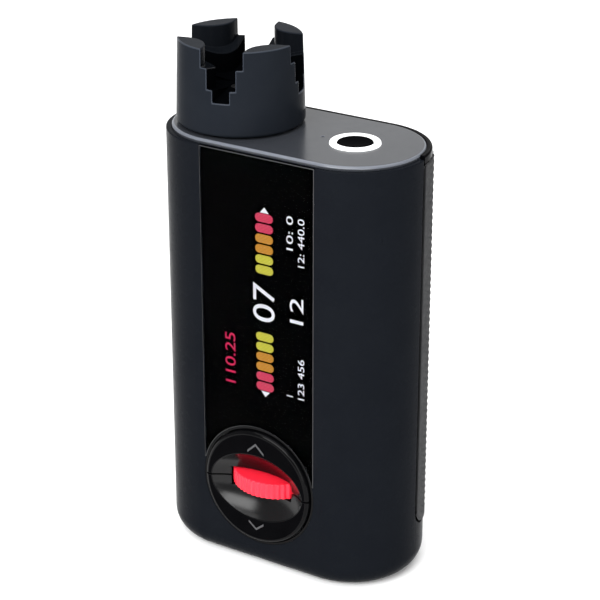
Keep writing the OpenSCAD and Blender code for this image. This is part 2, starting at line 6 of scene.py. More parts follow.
import bmesh
import bpy
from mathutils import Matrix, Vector


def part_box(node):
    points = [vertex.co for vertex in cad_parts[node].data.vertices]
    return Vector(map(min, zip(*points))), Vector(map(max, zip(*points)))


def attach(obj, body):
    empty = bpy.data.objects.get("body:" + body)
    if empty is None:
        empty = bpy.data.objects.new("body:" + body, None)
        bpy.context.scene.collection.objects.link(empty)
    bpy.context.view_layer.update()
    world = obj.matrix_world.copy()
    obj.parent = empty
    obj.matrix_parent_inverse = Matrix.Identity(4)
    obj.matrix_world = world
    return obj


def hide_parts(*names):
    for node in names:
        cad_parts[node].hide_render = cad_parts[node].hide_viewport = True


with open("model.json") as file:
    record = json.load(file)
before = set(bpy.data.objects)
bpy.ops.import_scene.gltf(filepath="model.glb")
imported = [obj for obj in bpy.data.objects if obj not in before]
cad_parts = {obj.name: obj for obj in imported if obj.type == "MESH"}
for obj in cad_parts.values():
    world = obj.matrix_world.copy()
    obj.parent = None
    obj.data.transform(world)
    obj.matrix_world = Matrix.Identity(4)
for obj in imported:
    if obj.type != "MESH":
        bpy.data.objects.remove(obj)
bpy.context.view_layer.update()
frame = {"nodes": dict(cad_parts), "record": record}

MM = 0.001
FAR = 60 * MM
OVER = 1 * MM  # how far a cutting tool passes the face that it cuts

# ---------------------------------------------------------------- sizes from the frame
shell_low, shell_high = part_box("front_housing")
END_R = shell_high.y
END_X = shell_high.x - END_R
FRONT_Y = shell_low.y
SHELL_TOP = shell_high.z
WALL = 2.2 * MM
FLOOR_T = 2.4 * MM
FOOT_R = 4.8 * MM
INNER_R = END_R - WALL

pad_low, pad_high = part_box("grip_pad")
PANEL_GAP = 0.35 * MM
PANEL_CORNER_R = 3.8 * MM
PAD_Y = pad_low.y
PAD_LOW = pad_low.z
PAD_TOP = pad_high.z
PAD_R = pad_high.y
PART_Y = PAD_Y - PANEL_GAP

cap_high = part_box("top_cap")[1]
CAP_R = cap_high.y
CAP_TOP = cap_high.z
CAP_T = 2 * MM
CAP_BOTTOM = CAP_TOP - CAP_T
SEAT_R = CAP_R + 0.05 * MM
MIC_X = 5.9 * MM

glass_low, glass_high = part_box("display_glass")
POCKET_GAP = 0.05 * MM
PANEL_LOW, PANEL_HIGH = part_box("display_panel")

wheel_low, wheel_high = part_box("scroll_wheel")
DIAL_Z = (wheel_low.z + wheel_high.z) / 2
WHEEL_Y = (wheel_low.y + wheel_high.y) / 2
WHEEL_R = wheel_high.x
BEZEL_R = 13.2 * MM
BUTTON_R = 12.5 * MM
BUTTON_FLANGE_R = 13.7 * MM
BUTTON_BOSS_R = 10.6 * MM
BUTTON_FRONT, BUTTON_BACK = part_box("upper_button")[0].y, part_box("upper_button")[1].y
BUTTON_FLANGE_Y = -12.25 * MM
BUTTON_GAP = 0.3 * MM

socket_low, socket_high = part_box("peg_socket")
SOCKET_X = (socket_low.x + socket_high.x) / 2
SOCKET_R = socket_high.y
SOCKET_TOP_R = 12.4 * MM
SLOT_ANGLE = math.radians(15.8)
SLOT_FALL = 0.25

key_low, key_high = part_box("power_button")
ring_low, ring_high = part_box("light_ring")
KEY_X = (key_low.x + key_high.x) / 2


# ---------------------------------------------------------------- mesh helpers
def circle(radius, steps, turn=0.0):
    """Points round a circle, as (cos part, sin part) pairs."""
    return [
        (radius * math.cos(turn + math.tau * i / steps), radius * math.sin(turn + math.tau * i / steps))
        for i in range(steps)
    ]


def stadium(radius, steps=40):
    """The body's outline: two round ends joined by straight sides."""
    points = []
    for side in (1, -1):
        for i in range(1, steps):
            angle = math.pi * (i / steps - 0.5)
            height = side * radius * math.sin(angle)
            if i in (1, steps - 1):
                height = math.copysign(radius, height)
            points.append((side * (END_X + radius * math.cos(angle)), height))
    return points


def quarter_turn(steps):
    """Angles from nothing to a quarter turn."""
    return [math.pi / 2 * i / steps for i in range(steps + 1)]


def rounded(radius, edge, low, high, steps=6, top=True, bottom=False):
    """Half outline (radius, height) of a block with rounded edges, from the bottom up."""
    quarter = quarter_turn(steps)
    foot = [(radius - edge * (1 - math.sin(a)), low + edge * (1 - math.cos(a))) for a in quarter]
    head = [(radius - edge * (1 - math.cos(a)), high - edge * (1 - math.sin(a))) for a in quarter]
    return (foot if bottom else [(radius, low)]) + (head if top else [(radius, high)])


def skin(bm, loops, closed=False):
    """Joins loops of vertices with quads, and closes the first and last with a face."""
    pairs = list(zip(loops, loops[1:])) + ([(loops[-1], loops[0])] if closed else [])
    for low, high in pairs:
        for i in range(len(low)):
            j = (i + 1) % len(low)
            bm.faces.new((low[i], low[j], high[j], high[i]))
    if not closed:
        bm.faces.new(loops[0][::-1])
        bm.faces.new(loops[-1])


def to_object(name, bm):
    """A new object from a bmesh, with its normals outwards."""
    bmesh.ops.recalc_face_normals(bm, faces=bm.faces)
    mesh = bpy.data.meshes.new(name)
    bm.to_mesh(mesh)
    bm.free()
    piece = bpy.data.objects.new(name, mesh)
    bpy.context.scene.collection.objects.link(piece)
    return piece


def loft(name, rings, closed=False):
    """A solid through rings of 3-D points."""
    bm = bmesh.new()
    skin(bm, [[bm.verts.new(p) for p in ring] for ring in rings], closed)
    return to_object(name, bm)


def stadium_block(name, outline):
    """A solid of the body's outline, from a half outline of (radius, height)."""
    return loft(name, [[(x, y, z) for x, y in stadium(r)] for r, z in outline])


def turned(name, outline, centre, axis="Z", steps=96, turn=0.0, closed=False):
    """A turned solid from (radius, place along the axis) pairs. centre holds the other two places."""
    place = {
        "Z": lambda u, v, along: (centre[0] + u, centre[1] + v, along),
        "Y": lambda u, v, along: (centre[0] + u, along, centre[1] + v),
        "X": lambda u, v, along: (along, centre[0] + u, centre[1] + v),
    }[axis]
    return loft(name, [[place(u, v, h) for u, v in circle(r, steps, turn)] for r, h in outline], closed)


def prism(name, outline, low, high, axis="Z"):
    """An outline of two coordinates, raised along an axis."""
    place = {
        "Z": lambda a, b, h: (a, b, h),
        "Y": lambda a, b, h: (a, h, b),
        "X": lambda a, b, h: (h, a, b),
    }[axis]
    return loft(name, [[place(a, b, h) for a, b in outline] for h in (low, high)])


def block(name, low, high):
    """A box from its lowest to its highest corner."""
    outline = [(low[0], low[1]), (high[0], low[1]), (high[0], high[1]), (low[0], high[1])]
    return prism(name, outline, low[2], high[2])


def bake(piece):
    """Makes the piece's modifiers part of its mesh."""
    depsgraph = bpy.context.evaluated_depsgraph_get()
    baked = bpy.data.meshes.new_from_object(piece.evaluated_get(depsgraph))
    piece.modifiers.clear()
    piece.data = baked


def carve(piece, *tools, operation="DIFFERENCE"):
    """Cuts the tools out of the piece, or joins them to it, and removes them."""
    for tool in tools:
        modifier = piece.modifiers.new("carve", "BOOLEAN")
        modifier.operation = operation
        modifier.solver = "EXACT"
        modifier.object = tool
    bake(piece)
    for tool in tools:
        bpy.data.objects.remove(tool)
    return piece


def soften(piece, width, steps=2, angle=32, weld=0.02 * MM):
    """Rounds the piece's sharp edges, and shades it smooth."""
    bm = bmesh.new()
    bm.from_mesh(piece.data)
    bmesh.ops.remove_doubles(bm, verts=bm.verts, dist=weld)
    bmesh.ops.dissolve_limit(bm, angle_limit=math.radians(0.05), verts=bm.verts, edges=bm.edges)
    bm.to_mesh(piece.data)
    bm.free()
    if width:
        modifier = piece.modifiers.new("round", "BEVEL")
        modifier.width = width
        modifier.segments = steps
        modifier.limit_method = "ANGLE"
        modifier.angle_limit = math.radians(angle)
        modifier.use_clamp_overlap = False
        bake(piece)
    return smooth(piece, angle)


def smooth(piece, angle=32):
    """Shades the piece smooth, apart from edges sharper than the angle."""
    piece.data.shade_smooth()
    piece.data.set_sharp_from_angle(angle=math.radians(angle))
    modifier = piece.modifiers.new("even normals", "WEIGHTED_NORMAL")
    modifier.keep_sharp = True
    return piece


def place(piece, body, material, *nodes, slot=None):
    """Gives the piece its material and its body, and hides the CAD nodes that it stands for."""
    piece.data.materials.clear()
    piece.data.materials.append(material)
    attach(piece, body)
    if nodes:
        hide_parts(*nodes)
    return piece


def give_faces(piece, material, chosen):
    """Gives the faces that are chosen their own material."""
    piece.data.materials.append(material)
    for face in piece.data.polygons:
        if chosen(face):
            face.material_index = len(piece.data.materials) - 1


# ---------------------------------------------------------------- material helpers
class Shader:
    """A node material that is built up step by step."""

    def __init__(self, name, colour, roughness, **sockets):
        self.material = bpy.data.materials.new(name)
        self.material.use_nodes = True
        self.nodes = self.material.node_tree.nodes
        self.links = self.material.node_tree.links
        self.bsdf = self.nodes["Principled BSDF"]
        self.set("Base Color", (*colour, 1))
        self.set("Roughness", roughness)
        self.colour, self.roughness = colour, roughness
        for socket, value in sockets.items():
            self.set(socket.replace("_", " "), value)
        self.coords = self.nodes.new("ShaderNodeTexCoord").outputs["Object"]
        self.bump = None

    def set(self, socket, value):
        """Sets an even value on the shader itself."""
        self.bsdf.inputs[socket].default_value = value

    def noise(self, scale, detail=2.0, stretch=(1, 1, 1)):
        """Noise with about `scale` features a metre."""
        mapping = self.nodes.new("ShaderNodeMapping")
        mapping.inputs["Scale"].default_value = stretch
        self.links.new(self.coords, mapping.inputs["Vector"])
        noise = self.nodes.new("ShaderNodeTexNoise")
        noise.inputs["Scale"].default_value = scale
        noise.inputs["Detail"].default_value = detail
        self.links.new(mapping.outputs["Vector"], noise.inputs["Vector"])
        return noise.outputs["Fac"]

    def ranged(self, factor, low, high, start=0.3, end=0.7):
        """Stretches a factor from start..end to low..high."""
        node = self.nodes.new("ShaderNodeMapRange")
        for socket, value in (("From Min", start), ("From Max", end), ("To Min", low), ("To Max", high)):
            node.inputs[socket].default_value = value
        self.links.new(factor, node.inputs["Value"])
        return node.outputs["Result"]

    def vary_roughness(self, factor, spread):
        """Lets the roughness wander by the spread to either side."""
        wander = self.ranged(factor, self.roughness - spread, self.roughness + spread)
        self.links.new(wander, self.bsdf.inputs["Roughness"])
        return self

    def vary_colour(self, factor, other, start=0.3, end=0.7):
        """Lets the colour wander between its own and another."""
        mix = self.nodes.new("ShaderNodeMix")
        mix.data_type = "RGBA"
        mix.inputs["A"].default_value = (*self.colour, 1)
        mix.inputs["B"].default_value = (*other, 1)
        self.links.new(self.ranged(factor, 0, 1, start, end), mix.inputs["Factor"])
        self.links.new(mix.outputs["Result"], self.bsdf.inputs["Base Color"])
        return self

    def relief(self, factor, depth):
        """Adds a bump of this real depth in metres."""
        node = self.nodes.new("ShaderNodeBump")
        node.inputs["Strength"].default_value = 1
        node.inputs["Distance"].default_value = depth
        self.links.new(factor, node.inputs["Height"])
        if self.bump:
            self.links.new(self.bump, node.inputs["Normal"])
        self.bump = node.outputs["Normal"]
        self.links.new(self.bump, self.bsdf.inputs["Normal"])
        return self


def shell_plastic():
    """Bluish black moulding with a fine spark-eroded grain."""
    made = Shader("shell", (0.0046, 0.0055, 0.0075), 0.26, Specular_IOR_Level=0.012)
    made.vary_colour(made.noise(140, 3), (0.0053, 0.0063, 0.0084))
    made.vary_roughness(made.noise(420, 3), 0.04)
    made.relief(made.noise(6500, 2), 0.006 * MM)
    return made.material


def socket_plastic(name="socket", shade=1.0, gloss=0.008):
    """The socket's own black, a little smoother than the shell, with fine turning lines. The shade factor
    scales its colour, below 1 for painted shade and above 1 for a painted highlight.
    """
    made = Shader(name, (0.0084 * shade, 0.0102 * shade, 0.0136 * shade), 0.22, Specular_IOR_Level=gloss)
    made.vary_colour(made.noise(180, 3), (0.0096 * shade, 0.0115 * shade, 0.0150 * shade))
    made.vary_roughness(made.noise(500, 3), 0.05)
    made.relief(made.noise(6000, 2), 0.005 * MM)
    made.relief(made.noise(900, 2, (0.05, 0.05, 4)), 0.002 * MM)
    return made.material


def grip_rubber():
    """Soft dark rubber, dull and finely grained, greyer in random patches."""
    made = Shader("grip", (0.016, 0.0165, 0.0178), 0.72, Specular_IOR_Level=0.35)
    made.vary_colour(made.noise(120, 4), (0.022, 0.0222, 0.0238))
    made.vary_roughness(made.noise(600, 3), 0.07)
    made.relief(made.noise(5200, 3), 0.010 * MM)
    return made.material


def cap_plastic(name="cap", shade=1.0):
    """Satin dark grey cap with a sheen and very fine grain. The shade factor makes a lighter copy for a
    painted highlight on its rounded edge.
    """
    made = Shader(name, (0.026 * shade, 0.0285 * shade, 0.034 * shade), 0.22, Specular_IOR_Level=0.38)
    made.vary_colour(made.noise(160, 3), (0.030 * shade, 0.0325 * shade, 0.038 * shade))
    made.vary_roughness(made.noise(380, 3), 0.035)
    made.relief(made.noise(7000, 2), 0.0012 * MM)
    return made.material


def gloss_black(name, ior, roughness=0.09):
    """Polished black plastic with faint smears and moulding waviness."""
    made = Shader(name, (0.0012, 0.0012, 0.0015), roughness, IOR=ior)
    made.vary_colour(made.noise(200, 2), (0.0018, 0.0018, 0.0022))
    made.vary_roughness(made.noise(300, 4), 0.03)
    made.relief(made.noise(150, 2), 0.004 * MM)
    return made.material


def mark_paint():
    """Grey printed marks on the black dial."""
    made = Shader("marks", (0.05, 0.05, 0.053), 0.4, Specular_IOR_Level=0.1)
    made.vary_colour(made.noise(3000, 2), (0.07, 0.07, 0.074))
    made.relief(made.noise(5000, 2), 0.003 * MM)
    return made.material


def wheel_plastic():
    """Saturated red plastic with a satin skin."""
    made = Shader("wheel", (0.90, 0.014, 0.036), 0.34, Specular_IOR_Level=0.3)
    made.set("Subsurface Weight", 0.12)
    made.set("Subsurface Radius", (1.5 * MM, 0.3 * MM, 0.3 * MM))
    made.vary_colour(made.noise(260, 3), (0.96, 0.020, 0.046))
    made.vary_roughness(made.noise(500, 3), 0.05)
    made.relief(made.noise(5200, 2), 0.004 * MM)
    return made.material


def lens_glass():
    """Clear coated glass over the display."""
    made = Shader("lens", (0.97, 0.98, 1.0), 0.03, IOR=1.03)
    made.set("Transmission Weight", 1.0)
    made.vary_roughness(made.noise(260, 3), 0.012)
    made.relief(made.noise(90, 2), 0.0015 * MM)
    return made.material


def ink_print(name, colour):
    """Dense black print or panel face behind the glass."""
    made = Shader(name, colour, 0.5, Specular_IOR_Level=0.0)
    made.vary_colour(made.noise(900, 2), tuple(0.6 * c for c in colour))
    made.relief(made.noise(9000, 2), 0.001 * MM)
    return made.material


def lit(name, colour, strength, pitch=0.0):
    """A lit area. With a pitch, its brightness shows the display's rows of dots."""
    made = Shader(name, (0.01, 0.01, 0.01), 0.5, Specular_IOR_Level=0.0)
    made.set("Emission Color", (*colour, 1))
    made.set("Emission Strength", strength)
    if pitch:
        wave = made.nodes.new("ShaderNodeTexWave")
        wave.bands_direction = "Z"
        wave.inputs["Scale"].default_value = 1 / (pitch * 3.2)
        made.links.new(made.coords, wave.inputs["Vector"])
        glow = made.ranged(wave.outputs["Fac"], 0.72 * strength, 1.1 * strength, 0, 1)
    else:
        glow = made.ranged(made.noise(500, 2), 0.94 * strength, 1.06 * strength)
    made.links.new(glow, made.bsdf.inputs["Emission Strength"])
    made.relief(made.noise(4000, 2), 0.002 * MM)
    return made.material


def metal(name, colour, roughness, stretch):
    """Metal with drawn or turned streaks."""
    made = Shader(name, colour, roughness, Metallic=1.0)
    streaks = made.noise(2600, 3, stretch)
    made.vary_colour(streaks, tuple(0.82 * c for c in colour))
    made.vary_roughness(streaks, 0.08)
    made.relief(streaks, 0.003 * MM)
    return made.material


def board_mask():
    """Green solder mask, with raised copper tracks under it."""
    made = Shader("board", (0.012, 0.085, 0.040), 0.3)
    brick = made.nodes.new("ShaderNodeTexBrick")
    brick.inputs["Scale"].default_value = 260
    brick.inputs["Mortar Size"].default_value = 0.06
    made.links.new(made.coords, brick.inputs["Vector"])
    made.vary_colour(brick.outputs["Fac"], (0.030, 0.160, 0.075), 0, 1)
    made.vary_roughness(made.noise(700, 2), 0.05)
    made.relief(brick.outputs["Fac"], 0.02 * MM)
    return made.material


def moulded(name, colour, roughness):
    """Plain moulded plastic or rubber of the inner pieces."""
    made = Shader(name, colour, roughness)
    made.vary_colour(made.noise(400, 3), tuple(1.35 * c for c in colour))
    made.vary_roughness(made.noise(900, 3), 0.06)
    made.relief(made.noise(4500, 2), 0.008 * MM)
    return made.material


SHELL = shell_plastic()
SOCKET = socket_plastic()
# Painted shade: darker copies of the socket's black for the insides of the slots.
SOCKET_PAINTED_SHADE = socket_plastic("socket_painted_shade", 0.4)
# Painted highlight: a lighter, glossier copy of the socket's black for its outer edges.
SOCKET_PAINTED_HIGHLIGHT = socket_plastic("socket_painted_highlight", 2.6, 0.08)
SOCKET_DEEP_PAINTED_SHADE = socket_plastic("socket_deep_painted_shade", 0.10, 0.0)
GRIP = grip_rubber()
CAP = cap_plastic()
# Painted highlight for the cap's rounded edge.
CAP_PAINTED_HIGHLIGHT = cap_plastic("cap_painted_highlight", 3.6)
DIAL = gloss_black("dial", 1.17, 0.12)
DIAL_FACE = gloss_black("dial_face", 1.04)
DIAL_SCOOP = gloss_black("dial_scoop", 1.33, 0.22)
MARKS = mark_paint()
WHEEL = wheel_plastic()
LENS = lens_glass()
INK = ink_print("ink", (0.0003, 0.0003, 0.0004))
PANEL = ink_print("panel", (0.0003, 0.0003, 0.0004))
LIP = gloss_black("lip", 1.06)
# Painted highlight: opaque grey for the glass's bevelled front edge, standing in for the light line it
# catches.
GLASS_EDGE_PAINTED_HIGHLIGHT = moulded("glass_edge_painted_highlight", (0.022, 0.023, 0.025), 0.35)
RING = lit("ring", (1.0, 1.0, 1.0), 1.8)
STEEL = metal("steel", (0.62, 0.63, 0.65), 0.32, (1, 1, 0.05))
DARK_STEEL = metal("dark_steel", (0.020, 0.020, 0.022), 0.45, (1, 1, 0.05))
BRASS = metal("brass", (0.78, 0.57, 0.22), 0.28, (1, 0.1, 1))
BOARD = board_mask()
CHIP = moulded("chip", (0.022, 0.022, 0.024), 0.5)
CELL = moulded("cell", (0.03, 0.12, 0.42), 0.35)
SEAL = moulded("seal", (0.012, 0.012, 0.012), 0.8)


# ---------------------------------------------------------------- camera, floor and light
def aim(thing, target):
    """Turns a camera or lamp towards a point."""
    thing.rotation_mode = "QUATERNION"
    thing.rotation_quaternion = (Vector(target) - thing.location).to_track_quat("-Z", "Y")


def make_camera():
    """The view from the right and above, with a long lens."""
    azimuth, elevation, distance = math.radians(32.28), math.radians(23.50), 412.4 * MM
    target = Vector((0.63 * MM, 0, 55.34 * MM))
    data = bpy.data.cameras.new("camera")
    data.lens = 121.86
    data.sensor_width = 36
    camera = bpy.data.objects.new("camera", data)
    bpy.context.scene.collection.objects.link(camera)
    back = Vector((
        math.sin(azimuth) * math.cos(elevation),
        -math.cos(azimuth) * math.cos(elevation),
        math.sin(elevation),
    ))
    camera.location = target + distance * back
    aim(camera, target)
    bpy.context.scene.camera = camera


def make_floor():
    """The pale floor that the shadow falls on."""
    side = 4.0
    floor = loft("floor", [[(-side, -side, z), (side, -side, z), (side, side, z), (-side, side, z)]
                           for z in (-0.01, 0.0)])
    made = Shader("floor", (0.90, 0.90, 0.90), 0.9, Specular_IOR_Level=0.1)
    made.vary_colour(made.noise(6, 3), (0.92, 0.92, 0.92))
    floor.data.materials.append(made.material)


def area_light(name, where, target, size, power):
    """A white soft box that points at the target."""
    data = bpy.data.lights.new(name, "AREA")
    data.shape = "RECTANGLE"
    data.size, data.size_y = size
    data.energy = power
    lamp = bpy.data.objects.new(name, data)
    bpy.context.scene.collection.objects.link(lamp)
    lamp.location = where
    aim(lamp, target)


def light_studio():
    """A white room, a large box above, a key in front, a narrow one to the right and one for the cap."""
    world = bpy.data.worlds.new("studio")
    world.use_nodes = True
    world.node_tree.nodes["Background"].inputs["Color"].default_value = (1, 1, 1, 1)
    world.node_tree.nodes["Background"].inputs["Strength"].default_value = 0.50
    bpy.context.scene.world = world
    middle = (0, 0, 55 * MM)
    area_light("overhead", (0, 0, 1.6), middle, (2.0, 2.0), 28.0)
    area_light("key", (0.03, -0.80, 0.66), middle, (0.80, 0.50), 12.0)
    area_light("side", (0.48, -0.45, 0.28), middle, (0.25, 0.50), 2.2)
    area_light("backdrop", (-0.42, 0.66, 0.44), (0, 0, CAP_TOP), (1.2, 0.8), 1.5)
    bpy.context.scene.view_settings.view_transform = "Standard"


# ---------------------------------------------------------------- shell
def back_zone(y, low):
    """Everything behind the parting line, with rounded lower corners."""
    corner = [math.pi + a for a in quarter_turn(12)]
    outline = [(y, FAR * 2)]
    outline += [
        (y + PANEL_CORNER_R * (1 + math.cos(a)), low + PANEL_CORNER_R * (1 + math.sin(a))) for a in corner
    ]
    outline += [(FAR, low), (FAR, FAR * 2)]
    return prism("zone", outline, -FAR, FAR, "X")


def port_hole(width, depth, y, low, high):
    """A slot with round ends, for the charging port."""
    points = []
    for side in (1, -1):
        for i in range(17):
            angle = math.pi * (i / 16 - 0.5)
            points.append((
                side * ((width - depth) / 2 + depth / 2 * math.cos(angle)),
                y + side * depth / 2 * math.sin(angle),
            ))
    return prism("port", points, low, high)


def make_front_shell():
    """The housing: floor and walls in one, open at the top and behind the parting line."""
    rim, rim_z = 0.25 * MM, SHELL_TOP - 1 * MM
    outline = rounded(END_R, FOOT_R, 0, SHELL_TOP, 14, top=False, bottom=True)[:-1]
    outline += rounded(END_R, rim, rim_z, SHELL_TOP, 4)
    shell = stadium_block("front_shell", outline)
    inside = FRONT_Y + 5 * MM
    port_width, port_depth, port_y = 9.44 * MM, 3.66 * MM, 4.6 * MM
    carve(
        shell,
        stadium_block("hollow", [(INNER_R, FLOOR_T), (INNER_R, SHELL_TOP + OVER)]),
        stadium_block("seat", [(SEAT_R, CAP_BOTTOM), (SEAT_R, SHELL_TOP + OVER)]),
        back_zone(PART_Y, PAD_LOW - PANEL_GAP),
        block(
            "pocket",
            (-glass_high.x - POCKET_GAP, FRONT_Y - OVER, glass_low.z - POCKET_GAP),
            (glass_high.x + POCKET_GAP, glass_high.y, SHELL_TOP + OVER),
        ),
        block(
            "window",
            (PANEL_LOW.x - POCKET_GAP, FRONT_Y - OVER, PANEL_LOW.z - POCKET_GAP),
            (PANEL_HIGH.x + POCKET_GAP, inside, PANEL_HIGH.z + POCKET_GAP),
        ),
        turned("dial_hole", [(BEZEL_R, FRONT_Y - OVER), (BEZEL_R, inside)], (0, DIAL_Z), "Y", 120),
        port_hole(port_width, port_depth, port_y, -OVER, FLOOR_T + OVER),
    )
    soften(shell, 0.13 * MM, 2)
    place(shell, "housing", SHELL, "front_housing", slot="shell")


def make_inner_posts():
    """Screw bosses and board posts inside the front shell."""
    bosses = [(-21.5, 14.0), (21.5, 14.0), (22.6, 76.5)]
    board_posts = [(x, DIAL_Z / MM + dz) for x in (-10.2, 10.2) for dz in (-11.4, 11.4)]
    main_posts = [(x, z) for x in (-13.4, 13.4) for z in (38.0, 63.0)]
    # The places, the outer and inner radius, and how far back the posts reach, in mm.
    rows = [(bosses, 2.4, 1.0, 1.0), (board_posts, 1.3, 0.5, -9.9), (main_posts, 1.3, 0.5, -10.4)]
    start = FRONT_Y + WALL - 0.2 * MM
    for places, outer, inner, end in rows:
        for i, (x, z) in enumerate(places):
            depth = math.sqrt(max(END_R ** 2 - max(abs(x * MM) - END_X, 0) ** 2, 0))
            low = max(start, -depth + WALL)
            outline = [(inner * MM, low), (outer * MM, low), (outer * MM, end * MM), (inner * MM, end * MM)]
            name = f"inner_post_{outer:.1f}_{end:.1f}_{i}".replace("-", "m")
            post = turned(name, outline, (x * MM, z * MM), "Y", 24, closed=True)
            smooth(post)
            place(post, "housing", SHELL, slot="shell")


# ---------------------------------------------------------------- ribbed grip pad
RIB_PITCH = 1.45 * MM
RIB_SLOPE = 0.65
RIB_DEPTH = 0.32 * MM
RIB_ROWS = 8
RIB_LOW = 12.4 * MM
RIB_BORDER = 1.5 * MM
RIB_FADE = 0.9 * MM
RIB_CREST = 0.05 * MM
PAD_T = 1.2 * MM


def pad_point(run, radius, z):
    """The point at this run along the back, from the right parting edge, on a skin of this radius."""
    straight = 2 * END_X
    quarter = radius * math.pi / 2
    if run < quarter:
        angle = run / radius
        return (END_X + radius * math.cos(angle), radius * math.sin(angle), z)
    if run < quarter + straight:
        return (END_X - (run - quarter), radius, z)
    angle = math.pi / 2 + (run - quarter - straight) / radius
    return (-END_X + radius * math.cos(angle), radius * math.sin(angle), z)


def smooth_step(value, low, high):
    """Rises softly from 0 at low to 1 at high."""
    t = min(max((value - low) / (high - low), 0), 1)
    return t * t * (3 - 2 * t)


def pad_floor(run, radius):
    """Height of the pad's lower edge at this run, with its rounded corner."""
    y = pad_point(run, radius, 0)[1] - PAD_Y
    if y >= PANEL_CORNER_R or abs(pad_point(run, radius, 0)[0]) < END_X:
        return PAD_LOW
    return PAD_LOW + PANEL_CORNER_R - math.sqrt(max(PANEL_CORNER_R ** 2 - (PANEL_CORNER_R - y) ** 2, 0))


def make_grip_pad():
    """A rubber skin whose diagonal ribs fall towards the middle of the back, as two mirrored halves."""
    start = PAD_R * math.asin(PAD_Y / PAD_R)
    length = PAD_R * math.pi + 2 * END_X
    middle = length / 2
    columns = 44
    edge = 0.3 * MM
    side_runs = [start + 0.08 * MM, start + 0.25 * MM, start + 0.42 * MM]
    first = start + RIB_BORDER - RIB_FADE
    runs = side_runs + [first + (middle - first) * i / columns for i in range(columns + 1)]
    runs += [length - run for run in reversed(runs[:-1])]
    step = RIB_PITCH / RIB_ROWS
    reach = PAD_TOP - PAD_LOW + RIB_SLOPE * middle
    count = int(reach / step) + 4

    def height(run, z, low):
        """How far the skin stands out here: ribs inside a plain border with rolled edges."""
        inward = min(run, length - run)
        phase = (z + RIB_SLOPE * inward) / RIB_PITCH
        rib = abs(2 * (phase - math.floor(phase)) - 1)
        rib = math.sin(rib * math.pi / 2) ** 1.3
        tip = smooth_step(inward - start, RIB_BORDER - RIB_FADE, RIB_BORDER + 0.3 * MM)
        foot = smooth_step(z, RIB_LOW - 0.8 * MM, RIB_LOW + 0.5 * MM)
        border = min(inward - start, z - low, PAD_TOP - z)
        roll = edge - math.sqrt(max(edge ** 2 - max(edge - border, 0) ** 2, 0))
        return -roll - RIB_DEPTH * (1 - rib) * tip * foot + RIB_CREST * tip * foot

    def vertex(run, z, low):
        radius = top + height(run, z, low)
        return bm.verts.new(pad_point(run * radius / PAD_R if run < middle else run, radius, z))

    bm = bmesh.new()
    top = PAD_R - RIB_CREST
    grid = []
    for run in runs:
        low = pad_floor(run, PAD_R)
        inward = min(run, length - run)
        base = PAD_LOW - (RIB_SLOPE * inward) % step - step
        column = []
        for i in range(count):
            z = min(max(base + i * step, low), PAD_TOP)
            column.append((run, z, low))
            if base + i * step > PAD_TOP:
                break
        column += [column[-1]] * (count - len(column))
        grid.append(column)
    verts = [[vertex(*point) for point in column] for column in grid]
    for left, right in zip(verts, verts[1:]):
        for i in range(count - 1):
            bm.faces.new((left[i], right[i], right[i + 1], left[i + 1]))
    bmesh.ops.remove_doubles(bm, verts=bm.verts, dist=0.002 * MM)
    bmesh.ops.recalc_face_normals(bm, faces=bm.faces)
    pad = to_object("ribbed_grip", bm)
    thickness = pad.modifiers.new("thickness", "SOLIDIFY")
    thickness.thickness = PAD_T
    thickness.offset = -1
    bake(pad)
    pad.data.shade_smooth()
    pad.data.set_sharp_from_angle(angle=math.radians(60))
    place(pad, "housing", GRIP, "grip_pad", slot="grip")


# ---------------------------------------------------------------- cap, ring and button
def make_cap():
    """The cap with its three holes and a painted highlight on its rounded edge, and two posts under it for
    the top board.
    """
    edge, bush_r, sound_r = 0.6 * MM, 3.8 * MM, 0.35 * MM
    ring_r = ring_high.y - 0.97 * MM
    cap = stadium_block("cap", rounded(CAP_R, edge, CAP_BOTTOM, CAP_TOP, 7))
    span = (CAP_BOTTOM - OVER, CAP_TOP + OVER)
    carve(
        cap,
        turned("bush_hole", [(bush_r, h) for h in span], (SOCKET_X, 0)),
        turned("ring_hole", [(ring_r, h) for h in span], (KEY_X, 0), steps=120),
        turned("sound_hole", [(sound_r, h) for h in span], (MIC_X, 0), steps=24),
    )
    soften(cap, 0.1 * MM, 2)
    place(cap, "housing", CAP, "top_cap", slot="cap")
    # Painted highlight: the upper rounded edge gets a lighter copy of the cap's material.
    highlight_z = CAP_TOP - 0.7 * MM
    give_faces(cap, CAP_PAINTED_HIGHLIGHT, lambda face: 0.12 < face.normal.z < 0.97 and face.center.z > highlight_z)
    post_x, post_y, post_r, bore_r = 20.5 * MM, 6 * MM, 1.3 * MM, 0.5 * MM
    low, high = CAP_BOTTOM - 5 * MM, CAP_BOTTOM + 0.1 * MM
    outline = [(bore_r, low), (post_r, low), (post_r, high), (bore_r, high)]
    for name, y in (("front", -post_y), ("back", post_y)):
        post = turned("cap_post_" + name, outline, (post_x, y), steps=24, closed=True)
        place(smooth(post), "housing", CAP, slot="cap")


def make_light_ring():
    """The lit ring, held under the cap by its flange."""
    inner, outer, flange = 3.75 * MM, ring_high.y - 1 * MM, ring_high.y
    step = 0.25 * MM
    arc = quarter_turn(5)
    outline = [(inner, ring_low.z), (flange, ring_low.z), (flange, CAP_BOTTOM), (outer, CAP_BOTTOM)]
    outline += [(outer - step * (1 - math.cos(a)), ring_high.z - step * (1 - math.sin(a))) for a in arc]
    outline += [(inner + step * (1 - math.sin(a)), ring_high.z - step * (1 - math.cos(a))) for a in arc]
    ring = turned("lit_ring", outline, (KEY_X, 0), steps=120, closed=True)
    place(smooth(ring), "housing", RING, "light_ring", slot="light")


